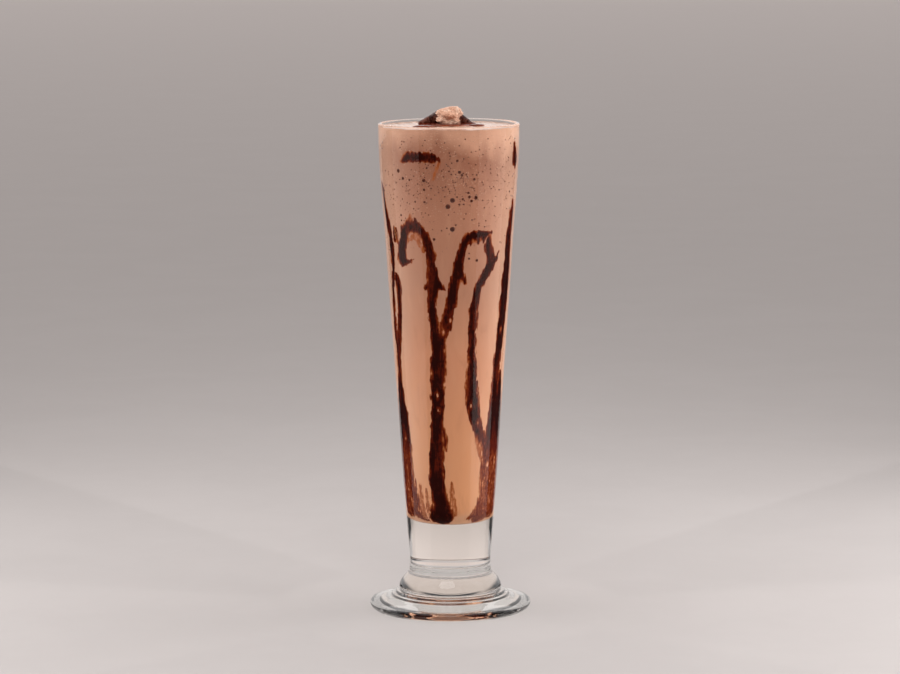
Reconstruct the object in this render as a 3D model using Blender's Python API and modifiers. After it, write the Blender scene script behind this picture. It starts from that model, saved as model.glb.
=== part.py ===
# Chocolate milkshake in a tall footed glass, with syrup run down the inside of the wall.
# Units are metres. The foot stands on z = 0, the glass turns round the Z axis, the front faces -Y.

import math

import bmesh
import bpy
from mathutils import Vector, noise

MM = 0.001

# Glass
GLASS_HEIGHT = 240 * MM
MOUTH_RADIUS = 34.5 * MM
FOOT_RADIUS = 39.7 * MM
RIM_WALL = 1.8 * MM
BASE_WALL = 3.7 * MM
INNER_BOTTOM = 44 * MM
INNER_CORNER = 5 * MM
FOOT_EDGE_HEIGHT = 2.7 * MM
CONTACT_RADIUS = 36.6 * MM
CONTACT_INNER_RADIUS = 33 * MM
SEGMENTS = 44

# Outer side of the bowl and its solid base, as (height, radius) in millimetres
BOWL_SIDE = [(240, 34.5), (224, 34.1), (206, 33.0), (188, 31.6), (165, 30.1), (141, 28.4),
             (117, 26.7), (93, 24.9), (69, 23.3), (45, 21.5), (32, 20.5), (23, 20.0)]

# Neck, knop and the two steps above the foot, in millimetres
KNOP_SIDE = [(20.5, 20.1), (18.2, 21.1), (15.8, 22.6), (14.4, 23.9), (12.8, 24.6),
             (10.6, 25.3), (9.2, 25.0), (8.7, 26.4), (7.9, 27.3), (7.4, 28.6), (6.6, 29.4)]

# Sloping top of the foot, in millimetres
FOOT_TOP = [(6.1, 31.0), (5.3, 34.5), (4.4, 37.6), (3.7, 39.1)]

# Hollow under the foot, in millimetres
FOOT_DOME = [(0.8, 31.0), (3.3, 25.0), (6.3, 13.0), (7.6, 0.0)]

# Drink
DRINK_LEVEL = 238.2 * MM
DRINK_DOME = 0.8 * MM
CLEARANCE = 0.3 * MM

# Syrup
SYRUP_THICKNESS = 1.1 * MM
BRANCH_INSET = 0.13 * MM
GROOVE_REACH = 0.8 * MM
GROOVE_MARGIN = 0.5 * MM

# Froth lump on the drink
LUMP_CENTRE = Vector((0.4, 0.0, 243.4)) * MM
LUMP_SIZE = Vector((12.2, 11.6, 9.4)) * MM

# Syrup runs on the wall: degrees round from the front, height and half width in millimetres
CENTRE_RUN = [(-50, 173, 0.8), (-50, 176, 3.2), (-50, 181, 3.0), (-47, 186, 2.8), (-43, 190, 2.6),
              (-37, 192, 2.7), (-30, 191, 2.7), (-24, 188, 2.3), (-20, 183, 2.2), (-17, 176, 2.3),
              (-16, 168, 2.6), (-16, 163, 3.2), (-17, 158, 2.2), (-17.5, 149, 2.1),
              (-16, 141, 2.3), (-13, 135, 3.4), (-13, 124, 3.4), (-14.5, 105, 3.1),
              (-16.5, 88, 3.0), (-18, 70, 3.6), (-16, 60, 3.2), (-13, 53, 4.2), (-13, 48, 5.6)]
CENTRE_ARCH = [(42, 188.5, 0.8), (34, 188, 1.6), (25.5, 188, 2.0), (17.5, 186.5, 2.1),
               (12.5, 182.5, 1.9), (10, 177, 2.0), (8, 171, 2.2), (4.5, 164, 2.2),
               (2.4, 157, 2.4), (-0.5, 150, 2.3), (-4, 142.5, 2.3), (-10, 136, 2.0)]
CENTRE_SPUR = [(-15, 164, 1.0), (-10, 162.8, 0.9), (-5, 161.8, 0.4)]
CENTRE_HOOK = [(8, 173, 1.4), (11, 168.3, 1.6), (14, 164.8, 0.6)]
RIGHT_RUN = [(73.5, 203, 0.9), (73, 196, 2.6), (70.5, 181, 3.2), (70, 164, 3.9), (68, 149, 3.6),
             (64.5, 130, 3.1), (64, 111, 3.4), (67, 96, 5.4), (68.5, 82, 6.8), (68, 72, 7.2),
             (67.5, 60, 7.0), (62, 52, 6.6), (54, 48, 5.6)]
RIGHT_BRANCH = [(39.7, 186.7, 0.8), (38.5, 182, 2.0), (42.5, 177.5, 2.4), (43, 173, 2.3),
                (37, 168.5, 2.2), (30, 163, 2.1), (27, 157, 2.0), (25, 148, 2.2), (24, 138, 1.9),
                (25.5, 124, 2.2), (27, 111, 2.9), (28.5, 104, 3.4), (33, 97, 3.1),
                (40, 90, 2.4), (47, 84.5, 1.8), (54, 79, 2.0)]
LEFT_RUN = [(-63, 168, 0.8), (-59.5, 164, 2.0), (-59, 154, 1.5), (-63, 140, 1.6),
            (-69, 128, 2.0), (-70, 117, 1.6), (-71, 108, 2.6), (-72.5, 99, 4.4), (-72.5, 89, 5.4),
            (-72, 78, 5.8), (-70, 67, 5.6), (-66, 58, 5.4), (-60, 49, 4.4)]
LEFT_BRANCH = [(-80, 211, 1.0), (-74, 197, 2.0), (-68, 185, 2.2), (-66.5, 172, 1.9),
               (-70.5, 157, 1.4), (-73, 142, 1.5), (-70, 129, 1.6)]
LEFT_FLECK = [(-60.3, 190.8, 0.6), (-58.5, 188, 2.0), (-60.5, 184.3, 0.8)]
LEFT_PATCH = [(-43, 223.4, 0.8), (-36.5, 225.3, 2.0), (-28.5, 225.6, 2.2), (-20, 225.8, 2.1),
              (-13.5, 225.3, 1.9), (-8.5, 224.3, 0.8)]
RIGHT_PATCH = [(69, 230.5, 0.9), (71, 226.5, 2.2), (73, 222.5, 3.0), (74, 220, 1.0)]
BACK_RUN = [(126, 178, 0.8), (127, 183, 2.6), (131, 189, 2.6), (139, 193, 2.6), (148, 191, 2.5),
            (153, 184, 2.2), (155, 174, 2.4), (154, 160, 2.1), (157, 143, 2.4), (159, 124, 3.0),
            (158, 104, 2.8), (161, 84, 3.1), (160, 66, 3.0), (157, 54, 3.6), (156, 48, 4.8)]
BACK_BRANCH = [(187, 180, 0.8), (184, 186, 2.0), (177, 187, 2.2), (171, 181, 2.0), (168, 171, 2.1),
               (166, 158, 2.2), (162, 146, 2.0), (158, 138, 1.8)]
BACK_LEFT_RUN = [(212, 196, 0.9), (214, 186, 2.2), (212, 171, 2.4), (215, 152, 2.2),
                 (213, 131, 2.6), (210, 110, 2.4), (211, 90, 3.2), (208, 70, 3.0), (209, 54, 4.0),
                 (208, 48, 4.6)]
BACK_RIGHT_RUN = [(108, 186, 0.8), (110, 176, 1.9), (109, 158, 2.2), (112, 140, 2.0),
                  (111, 118, 2.3), (113, 96, 1.8), (112, 82, 0.8)]
BACK_PATCH = [(203, 221, 0.8), (197, 223, 2.0), (189, 222.4, 2.1), (182, 223.4, 0.8)]


def clear_scene():
    for obj in list(bpy.data.objects):
        bpy.data.objects.remove(obj, do_unlink=True)


def new_collection(name, hidden=False):
    collection = bpy.data.collections.new(name)
    collection.hide_render = hidden
    bpy.context.scene.collection.children.link(collection)
    return collection


def material(name, colour, roughness, transmission=0.0):
    made = bpy.data.materials.new(name)
    made.use_nodes = True
    made.diffuse_color = (*colour, 1.0)
    shader = made.node_tree.nodes["Principled BSDF"]
    shader.inputs["Base Color"].default_value = (*colour, 1.0)
    shader.inputs["Roughness"].default_value = roughness
    shader.inputs["Metallic"].default_value = 0.0
    shader.inputs["Transmission Weight"].default_value = transmission
    shader.inputs["IOR"].default_value = 1.5
    return made


def new_object(name, mesh, collection, surface=None):
    obj = bpy.data.objects.new(name, mesh)
    collection.objects.link(obj)
    if surface:
        mesh.materials.append(surface)
    return obj


def through(points, steps):
    """A smooth curve through points of any dimension, with this many steps between each two."""
    rows = [Vector(p) for p in points]
    ends = [rows[0] * 2 - rows[1]] + rows + [rows[-1] * 2 - rows[-2]]
    curve = []
    for before, start, end, after in zip(ends, ends[1:], ends[2:], ends[3:]):
        for step in range(steps):
            t = step / steps
            bend = (2 * start + (end - before) * t
                    + (2 * before - 5 * start + 4 * end - after) * t ** 2
                    + (3 * start - before - 3 * end + after) * t ** 3)
            curve.append(bend * 0.5)
    return curve + [rows[-1]]


def between(stations, height):
    """The radius at a height, read along straight lines between (height, radius) stations."""
    for (upper, above), (lower, below) in zip(stations, stations[1:]):
        if height >= lower:
            share = (height - lower) / (upper - lower)
            return below + (above - below) * share
    return stations[-1][1]


def bowl_radius(height):
    return between([(h * MM, r * MM) for h, r in BOWL_SIDE], height)


def wall_thickness(height):
    share = (GLASS_HEIGHT - height) / (GLASS_HEIGHT - INNER_BOTTOM)
    return RIM_WALL + (BASE_WALL - RIM_WALL) * share


def inner_radius(height):
    """Radius of the bowl's inside at a height, with its rounded bottom corner."""
    radius = bowl_radius(height) - wall_thickness(height)
    depth = INNER_BOTTOM + INNER_CORNER - height
    if depth <= 0:
        return radius
    return radius - INNER_CORNER + math.sqrt(max(0.0, INNER_CORNER ** 2 - depth ** 2))


def inner_side(top, inset):
    """Points (radius, height) up the bowl's inside from its bottom corner, moved inward by inset."""
    corner_top = INNER_BOTTOM + INNER_CORNER
    corner_radius = inner_radius(corner_top) - INNER_CORNER
    points = []
    for degrees in (0, 45, 90):
        turn = math.radians(degrees)
        reach = INNER_CORNER - inset
        points.append((corner_radius + reach * math.sin(turn), corner_top - reach * math.cos(turn)))
    for station, _ in reversed(BOWL_SIDE):
        height = station * MM
        if corner_top + 4 * MM < height < top - 4 * MM:
            points.append((inner_radius(height) - inset, height))
    points.append((inner_radius(top) - inset, top))
    return points


def turned(name, profile, collection, surface):
    """A solid turned from (radius, height) points that run up the inside and down the outside."""
    mesh = bpy.data.meshes.new(name)
    points = [(radius, 0.0, height) for radius, height in profile]
    mesh.from_pydata(points, [(i, i + 1) for i in range(len(points) - 1)], [])
    obj = new_object(name, mesh, collection, surface)
    screw = obj.modifiers.new("Turn", "SCREW")
    screw.axis = "Z"
    screw.steps = SEGMENTS
    screw.render_steps = SEGMENTS
    screw.use_merge_vertices = True
    screw.merge_threshold = 0.00001
    screw.use_smooth_shade = True
    return obj


def make_glass(collection, surface):
    lip_radius = RIM_WALL / 2
    lip_height = GLASS_HEIGHT - lip_radius
    lip_centre = MOUTH_RADIUS - lip_radius
    profile = [(0.0, INNER_BOTTOM)] + inner_side(lip_height, 0.0)
    for degrees in (45, 90, 135, 180):
        turn = math.radians(degrees)
        profile.append((lip_centre - lip_radius * math.cos(turn), lip_height + lip_radius * math.sin(turn)))
    for height, radius in BOWL_SIDE[1:] + KNOP_SIDE + FOOT_TOP:
        profile.append((radius * MM, height * MM))
    profile.append((FOOT_RADIUS, FOOT_EDGE_HEIGHT))
    profile.append((FOOT_RADIUS - 0.4 * MM, FOOT_EDGE_HEIGHT * 0.5))
    profile.append((FOOT_RADIUS - 1.5 * MM, FOOT_EDGE_HEIGHT * 0.14))
    profile.append((CONTACT_RADIUS, 0.0))
    profile.append((CONTACT_INNER_RADIUS, 0.0))
    for height, radius in FOOT_DOME:
        profile.append((radius * MM, height * MM))
    return turned("glass", profile, collection, surface)


def drink_top(radius):
    """Height of the drink's surface: it creeps up the wall a little and is domed in the middle."""
    share = radius / inner_radius(DRINK_LEVEL)
    return DRINK_LEVEL + DRINK_DOME * (1 - share ** 2) + 0.4 * MM * share ** 12


def make_drink(collection, surface):
    edge = inner_radius(DRINK_LEVEL) - CLEARANCE
    profile = [(0.0, INNER_BOTTOM + CLEARANCE)] + inner_side(DRINK_LEVEL, CLEARANCE)[:-1]
    for share in (1.0, 0.9, 0.7, 0.45, 0.2, 0.0):
        profile.append((edge * share, drink_top(edge * share)))
    return turned("milkshake", profile, collection, surface)


def on_wall(turn, height, inset):
    radius = inner_radius(height) - inset
    return Vector((radius * math.sin(turn), -radius * math.cos(turn), height))


def strip(name, route, inset, thickness, spread, collection, surface=None):
    """A ribbon that lies on the wall along a route, as a strip with Solidify towards the axis."""
    points = [(math.radians(turn), height * MM, half * MM) for turn, height, half in route]
    rows = through(points, 2)
    mesh = bpy.data.meshes.new(name)
    bm = bmesh.new()
    previous = None
    for index, (turn, height, half) in enumerate(rows):
        ahead = rows[min(index + 1, len(rows) - 1)]
        behind = rows[max(index - 1, 0)]
        radius = inner_radius(height)
        along = Vector((radius * (ahead[0] - behind[0]), ahead[1] - behind[1])).normalized()
        end_slack = spread * along * ((index == len(rows) - 1) - (index == 0))
        row = []
        for side in (-1, 0, 1):
            reach = side * (max(half, 0.3 * MM) + spread)
            shift = Vector((along.y, -along.x)) * reach + end_slack
            row.append(bm.verts.new(on_wall(turn + shift.x / radius, height + shift.y, inset)))
        if previous:
            for side in (0, 1):
                bm.faces.new((previous[side], previous[side + 1], row[side + 1], row[side]))
        previous = row
    bmesh.ops.recalc_face_normals(bm, faces=bm.faces)
    bm.faces.ensure_lookup_table()
    first = bm.faces[0]
    centre = first.calc_center_median()
    if first.normal.dot(Vector((centre.x, centre.y, 0))) < 0:
        bmesh.ops.reverse_faces(bm, faces=bm.faces)
    bm.to_mesh(mesh)
    bm.free()
    mesh.shade_smooth()
    obj = new_object(name, mesh, collection, surface)
    shell = obj.modifiers.new("Depth", "SOLIDIFY")
    shell.thickness = thickness
    shell.offset = -1
    shell.use_even_offset = False
    return obj


def helper(obj):
    obj.hide_render = True
    obj.display_type = "WIRE"
    return obj


def syrup_run(name, routes, parts, cutters, surface):
    """A syrup run: the first route is the main ribbon, and the rest join it, each a bit thinner."""
    main = strip(name, routes[0], CLEARANCE + 0.05 * MM, SYRUP_THICKNESS, 0.0, parts, surface)
    for number, route in enumerate(routes[1:], 1):
        inset = CLEARANCE + 0.05 * MM + BRANCH_INSET * number
        depth = SYRUP_THICKNESS - 2 * BRANCH_INSET * number
        branch = helper(strip(f"{name}_branch_{number}", route, inset, depth, 0.0, cutters))
        join = main.modifiers.new(f"Join {number}", "BOOLEAN")
        join.operation = "UNION"
        join.solver = "EXACT"
        join.object = branch
    return main


def groove_cutters(routes, grooves):
    depth = GROOVE_REACH + CLEARANCE + 0.05 * MM + SYRUP_THICKNESS + GROOVE_MARGIN
    for number, route in enumerate(routes):
        helper(strip(f"groove_{number}", route, -GROOVE_REACH, depth + number * 0.004 * MM,
                     GROOVE_MARGIN, grooves))


def rough_ball(name, centre, size, roughness, grain, collection, surface=None, detail=3):
    """An uneven lump: a ball of this size whose points move out and in by smooth noise."""
    mesh = bpy.data.meshes.new(name)
    bm = bmesh.new()
    bmesh.ops.create_icosphere(bm, subdivisions=detail, radius=0.5)
    for vert in bm.verts:
        wander = noise.noise(vert.co * grain + centre * 300)
        vert.co *= 1 + roughness * wander
        vert.co = Vector((vert.co.x * size.x, vert.co.y * size.y, vert.co.z * size.z)) + centre
    bm.to_mesh(mesh)
    bm.free()
    mesh.shade_smooth()
    return new_object(name, mesh, collection, surface)


def make_lump(collection, cutters, surface):
    """Froth lump, cut flat under where it sits on the syrup."""
    lump = rough_ball("froth_lump", LUMP_CENTRE, LUMP_SIZE, 0.35, 3.2, collection, surface)
    seat = DRINK_LEVEL + DRINK_DOME + 2 * CLEARANCE + 1.1 * MM
    cut = flat_cutter("lump_seat", seat, cutters)
    trim = lump.modifiers.new("Seat", "BOOLEAN")
    trim.operation = "DIFFERENCE"
    trim.solver = "EXACT"
    trim.object = cut
    return lump


def flat_cutter(name, top, collection):
    """A block whose top face is at a height, to cut what reaches below it."""
    mesh = bpy.data.meshes.new(name)
    bm = bmesh.new()
    bmesh.ops.create_cube(bm, size=60 * MM)
    bmesh.ops.translate(bm, verts=bm.verts, vec=(0, 0, top - 30 * MM))
    bm.to_mesh(mesh)
    bm.free()
    return helper(new_object(name, mesh, collection))


def make_top_syrup(collection, cutters, surface):
    """Syrup on the drink's surface: a flat puddle with lobes and a raised pile beside the lump."""
    seat = DRINK_LEVEL + DRINK_DOME + CLEARANCE
    level = seat + 0.1 * MM
    puddle = rough_ball("syrup_on_top", Vector((0, 0, level)), Vector((30, 25, 2.0)) * MM,
                        0.0, 1.0, collection, surface)
    piles = [
        ("left_pile", (-9.8, -1.0, 241.2), (7.6, 7.0, 6.6)),
        ("left_tail", (-13.6, -2.0, 240.0), (7.0, 6.0, 2.6)),
        ("right_pile", (10.6, -0.5, 240.6), (7.4, 6.6, 5.4)),
        ("right_tail", (14.6, -5.5, 239.6), (9.0, 7.0, 1.8)),
        ("front_tail", (-12.0, -11.0, 239.5), (12.0, 8.0, 1.7)),
        ("back_tail", (4.0, 11.5, 239.6), (13.0, 9.0, 1.9)),
    ]
    for number, (name, centre, size) in enumerate(piles):
        ball = helper(rough_ball(name, Vector(centre) * MM, Vector(size) * MM, 0.25, 2.0,
                                 cutters, detail=2))
        join = puddle.modifiers.new(f"Join {number}", "BOOLEAN")
        join.operation = "UNION"
        join.solver = "EXACT"
        join.object = ball
    for name, obj in (("Seat", flat_cutter("syrup_seat", seat, cutters)),
                      ("Lump", lump_cutter(cutters))):
        trim = puddle.modifiers.new(name, "BOOLEAN")
        trim.operation = "DIFFERENCE"
        trim.solver = "EXACT"
        trim.object = obj
    return puddle


def lump_cutter(collection):
    """The lump's shape grown by the clearance, and cut at the same seat, to keep the syrup clear."""
    grown = LUMP_SIZE + Vector((1, 1, 1)) * 3 * CLEARANCE
    ball = rough_ball("lump_clearance", LUMP_CENTRE, grown, 0.35, 3.2, collection)
    trim = ball.modifiers.new("Seat", "BOOLEAN")
    trim.operation = "DIFFERENCE"
    trim.solver = "EXACT"
    trim.object = flat_cutter("clearance_seat", DRINK_LEVEL + DRINK_DOME + CLEARANCE + 1.1 * MM,
                              collection)
    return helper(ball)


def main():
    clear_scene()
    parts = new_collection("chocolate_milkshake")
    cutters = new_collection("cutters", hidden=True)
    grooves = new_collection("grooves", hidden=True)
    clear_glass = material("clear_glass", (0.98, 0.98, 0.97), 0.02, 1.0)
    chocolate_milk = material("chocolate_milk", (0.40, 0.22, 0.15), 0.45)
    froth = material("froth", (0.50, 0.32, 0.24), 0.7)
    syrup = material("chocolate_syrup", (0.022, 0.009, 0.007), 0.12)

    make_glass(parts, clear_glass)
    drink = make_drink(parts, chocolate_milk)
    runs = {
        "syrup_run_centre": [CENTRE_RUN, CENTRE_ARCH, CENTRE_SPUR, CENTRE_HOOK],
        "syrup_run_right": [RIGHT_RUN, RIGHT_BRANCH],
        "syrup_run_left": [LEFT_RUN, LEFT_BRANCH],
        "syrup_fleck_left": [LEFT_FLECK],
        "syrup_patch_left": [LEFT_PATCH],
        "syrup_patch_right": [RIGHT_PATCH],
        "syrup_run_back": [BACK_RUN, BACK_BRANCH],
        "syrup_run_back_left": [BACK_LEFT_RUN],
        "syrup_run_back_right": [BACK_RIGHT_RUN],
        "syrup_patch_back": [BACK_PATCH],
    }
    for name, routes in runs.items():
        syrup_run(name, routes, parts, cutters, syrup)
    groove_cutters([route for routes in runs.values() for route in routes], grooves)
    cut = drink.modifiers.new("Grooves", "BOOLEAN")
    cut.operation = "DIFFERENCE"
    cut.solver = "EXACT"
    cut.operand_type = "COLLECTION"
    cut.collection = grooves
    make_lump(parts, cutters, froth)
    make_top_syrup(parts, cutters, syrup)


main()
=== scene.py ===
import math

import bmesh
import bpy
import numpy as np
from mathutils import Matrix, Vector, noise


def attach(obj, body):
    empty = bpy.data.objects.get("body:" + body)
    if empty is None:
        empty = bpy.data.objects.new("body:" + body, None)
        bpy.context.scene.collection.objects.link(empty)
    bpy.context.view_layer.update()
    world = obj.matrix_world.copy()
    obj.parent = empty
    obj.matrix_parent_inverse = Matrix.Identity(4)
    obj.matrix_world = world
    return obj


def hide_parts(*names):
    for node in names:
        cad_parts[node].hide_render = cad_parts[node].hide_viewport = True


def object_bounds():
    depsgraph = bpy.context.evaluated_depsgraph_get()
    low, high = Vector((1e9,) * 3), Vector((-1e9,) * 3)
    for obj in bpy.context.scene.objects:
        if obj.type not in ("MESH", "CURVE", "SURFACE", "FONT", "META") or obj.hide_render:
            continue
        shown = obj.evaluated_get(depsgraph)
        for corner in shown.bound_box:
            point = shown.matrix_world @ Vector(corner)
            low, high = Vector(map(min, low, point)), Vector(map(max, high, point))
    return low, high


# Sizes of the glass and the drink are listed in millimetres, and those of the studio in metres. The
# glass stands round the Z axis and its front faces -Y. A place on the wall is (turn, along): degrees
# round from the front towards +X, and millimetres up the wall.

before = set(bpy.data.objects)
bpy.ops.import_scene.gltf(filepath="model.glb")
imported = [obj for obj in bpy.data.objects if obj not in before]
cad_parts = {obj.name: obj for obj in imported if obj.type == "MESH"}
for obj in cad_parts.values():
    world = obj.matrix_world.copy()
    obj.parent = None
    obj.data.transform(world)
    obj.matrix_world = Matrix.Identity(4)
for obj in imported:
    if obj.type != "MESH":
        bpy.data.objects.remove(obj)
cadLow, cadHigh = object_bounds()
mm = 0.001
scene = bpy.context.scene


# Mesh helpers

def smoothCurve(stations, steps):
    # A smooth curve through stations of any dimension, with this many steps between each two.
    rows = [np.array(row, float) for row in stations]
    rows = [2 * rows[0] - rows[1]] + rows + [2 * rows[-1] - rows[-2]]
    curve = []
    for before, start, end, after in zip(rows, rows[1:], rows[2:], rows[3:]):
        for t in np.arange(steps) / steps:
            bend = 2 * start + (end - before) * t
            bend = bend + (2 * before - 5 * start + 4 * end - after) * t ** 2
            bend = bend + (3 * start - before - 3 * end + after) * t ** 3
            curve.append(bend / 2)
    curve.append(rows[-2])
    return np.array(curve)


def ease(low, high, value):
    share = np.clip((value - low) / (high - low), 0, 1)
    return share * share * (3 - 2 * share)


def patches(x, y, cellX, cellY, seed, around=997):
    # Smooth random patches between -1 and 1. They repeat after this many cells each way.
    draws = np.random.default_rng(seed).uniform(-1, 1, (around, around))
    gridX, gridY = x / cellX, y / cellY
    column, row = np.floor(gridX).astype(int), np.floor(gridY).astype(int)
    shareX, shareY = ease(0, 1, gridX - column), ease(0, 1, gridY - row)
    left, right = column % around, (column + 1) % around
    low, high = row % around, (row + 1) % around
    near = draws[left, low] * (1 - shareY) + draws[left, high] * shareY
    far = draws[right, low] * (1 - shareY) + draws[right, high] * shareY
    return near * (1 - shareX) + far * shareX


def newObject(name, mesh, surface):
    obj = bpy.data.objects.new(name, mesh)
    scene.collection.objects.link(obj)
    mesh.materials.append(surface)
    mesh.shade_smooth()
    return obj


def newMesh(name, points, faces):
    mesh = bpy.data.meshes.new(name)
    mesh.from_pydata(points, [], faces)
    bm = bmesh.new()
    bm.from_mesh(mesh)
    bmesh.ops.recalc_face_normals(bm, faces=bm.faces)
    bm.to_mesh(mesh)
    bm.free()
    return mesh


def addValue(mesh, name, numbers):
    layer = mesh.attributes.new(name, "FLOAT", "POINT")
    layer.data.foreach_set("value", np.asarray(numbers, np.float32))


def meshPoints(mesh):
    points = np.zeros(len(mesh.vertices) * 3)
    mesh.vertices.foreach_get("co", points)
    return points.reshape(-1, 3)


def turnedMesh(name, profile, around, lift=None):
    # A closed solid turned from (radius, height) rows whose two ends lie on the axis.
    rings = profile[1:-1]
    turns = np.arange(around) * 2 * math.pi / around
    points = np.empty((len(rings), around, 3))
    points[:, :, 0] = rings[:, None, 0] * np.sin(turns)
    points[:, :, 1] = -rings[:, None, 0] * np.cos(turns)
    points[:, :, 2] = rings[:, None, 1]
    if lift:
        points[:, :, 2] += lift(points)
    ends = np.array([(0, 0, profile[0, 1]), (0, 0, profile[-1, 1])])
    points = np.concatenate([points.reshape(-1, 3), ends]) * mm
    low, high = len(rings) * around, len(rings) * around + 1
    faces = []
    for row in range(len(rings) - 1):
        for column in range(around):
            beside = (column + 1) % around
            start, above = row * around, (row + 1) * around
            faces.append((start + column, start + beside, above + beside, above + column))
    last = (len(rings) - 1) * around
    for column in range(around):
        beside = (column + 1) % around
        faces.append((low, beside, column))
        faces.append((high, last + column, last + beside))
    return newMesh(name, points.tolist(), faces)


def ballShape(detail, radius):
    # The points and the triangles of a ball round the origin.
    bm = bmesh.new()
    bmesh.ops.create_icosphere(bm, subdivisions=detail, radius=radius)
    points = [vert.co.copy() for vert in bm.verts]
    faces = [[vert.index for vert in face.verts] for face in bm.faces]
    bm.free()
    return points, faces


def applied(obj):
    # The object's mesh with its modifiers applied.
    bpy.context.view_layer.update()
    seen = obj.evaluated_get(bpy.context.evaluated_depsgraph_get())
    mesh = bpy.data.meshes.new_from_object(seen)
    old = obj.data
    obj.modifiers.clear()
    obj.data = mesh
    mesh.name = obj.name
    bpy.data.meshes.remove(old)
    mesh.shade_smooth()
    return mesh


# Node helpers

def tone(red, green, blue):
    # A screen colour of 0 to 255 as the linear colour that shaders take.
    shares = [value / 255 for value in (red, green, blue)]
    return (*[v / 12.92 if v <= 0.04045 else ((v + 0.055) / 1.055) ** 2.4 for v in shares], 1.0)


def addNode(tree, kind, inputs=None, **settings):
    node = tree.nodes.new("ShaderNode" + kind)
    for key, value in settings.items():
        setattr(node, key, value)
    for key, value in (inputs or {}).items():
        if isinstance(value, bpy.types.NodeSocket):
            tree.links.new(value, node.inputs[key])
        else:
            node.inputs[key].default_value = value
    return node


def addMath(tree, operation, first, second=0.5, clamp=False):
    return addNode(tree, "Math", {0: first, 1: second}, operation=operation, use_clamp=clamp).outputs[0]


def addRange(tree, value, low, high, start=0.0, end=1.0):
    inputs = {"Value": value, "From Min": low, "From Max": high, "To Min": start, "To Max": end}
    return addNode(tree, "MapRange", inputs, interpolation_type="SMOOTHSTEP").outputs["Result"]


def addMix(tree, factor, first, second):
    # Sockets 0, 6 and 7 of a colour Mix node are its factor and its two colours.
    return addNode(tree, "Mix", {0: factor, 6: first, 7: second}, data_type="RGBA").outputs[2]


def addRamp(tree, value, stops):
    node = addNode(tree, "ValToRGB", {"Fac": value})
    ramp = node.color_ramp
    while len(ramp.elements) < len(stops):
        ramp.elements.new(0.5)
    for element, (place, colour) in zip(ramp.elements, stops):
        element.position = place
    for element, (place, colour) in zip(ramp.elements, stops):
        element.color = colour
    return node.outputs["Color"]


def addNoise(tree, vector, scale, detail=3.0, rough=0.5, twist=0.0):
    inputs = {"Vector": vector, "Scale": scale, "Detail": detail, "Roughness": rough, "Distortion": twist}
    return addNode(tree, "TexNoise", inputs).outputs["Fac"]


def addScaled(tree, vector, factors):
    return addNode(tree, "VectorMath", {0: vector, 1: factors}, operation="MULTIPLY").outputs[0]


def addAttribute(tree, name):
    return addNode(tree, "Attribute", attribute_type="GEOMETRY", attribute_name=name).outputs["Fac"]


def newGroup(name, inputs, outputs):
    # inputs and outputs are {socket name: (kind, default)}, with kind Float, Color or Vector.
    tree = bpy.data.node_groups.new(name, "ShaderNodeTree")
    for direction, sockets in (("INPUT", inputs), ("OUTPUT", outputs)):
        for key, (kind, default) in sockets.items():
            socket = tree.interface.new_socket(name=key, in_out=direction, socket_type="NodeSocket" + kind)
            socket.default_value = default
    entry = tree.nodes.new("NodeGroupInput")
    leave = tree.nodes.new("NodeGroupOutput")
    return tree, entry.outputs, leave.inputs


def useGroup(tree, group, inputs):
    return addNode(tree, "Group", inputs, node_tree=group).outputs


def newMaterial(name):
    # A material with its tree, its Principled shader's inputs and its place in millimetres.
    made = bpy.data.materials.new(name)
    made.use_nodes = True
    tree = made.node_tree
    shader = tree.nodes["Principled BSDF"]
    place = addNode(tree, "TexCoord").outputs["Object"]
    return made, tree, shader, addScaled(tree, place, (1000, 1000, 1000))


def addFinish(tree, shader, colour, rough, relief, strength, distance):
    # Links a material's colour and roughness, and its relief as a bump of this strength and height.
    tree.links.new(colour, shader.inputs["Base Color"])
    tree.links.new(rough, shader.inputs["Roughness"])
    bump = addNode(tree, "Bump", {"Height": relief, "Strength": strength, "Distance": distance})
    tree.links.new(bump.outputs["Normal"], shader.inputs["Normal"])


# Shared effects as node groups

def buildSoftMottle():
    # Broad soft variation with finer variation in it, as a value round 0.5.
    tree, entry, leave = newGroup(
        "softMottle",
        {"Vector": ("Vector", (0, 0, 0)), "Size": ("Float", 10.0), "Fine": ("Float", 0.4)},
        {"Value": ("Float", 0.5)})
    broad = addNoise(tree, entry["Vector"], addMath(tree, "DIVIDE", 1.0, entry["Size"]), 2.0, 0.5, 0.6)
    fine = addNoise(tree, entry["Vector"], addMath(tree, "DIVIDE", 6.0, entry["Size"]), 4.0, 0.6)
    added = addMath(tree, "MULTIPLY", addMath(tree, "SUBTRACT", fine, 0.5), entry["Fine"])
    tree.links.new(addMath(tree, "ADD", broad, added), leave["Value"])
    return tree


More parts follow.
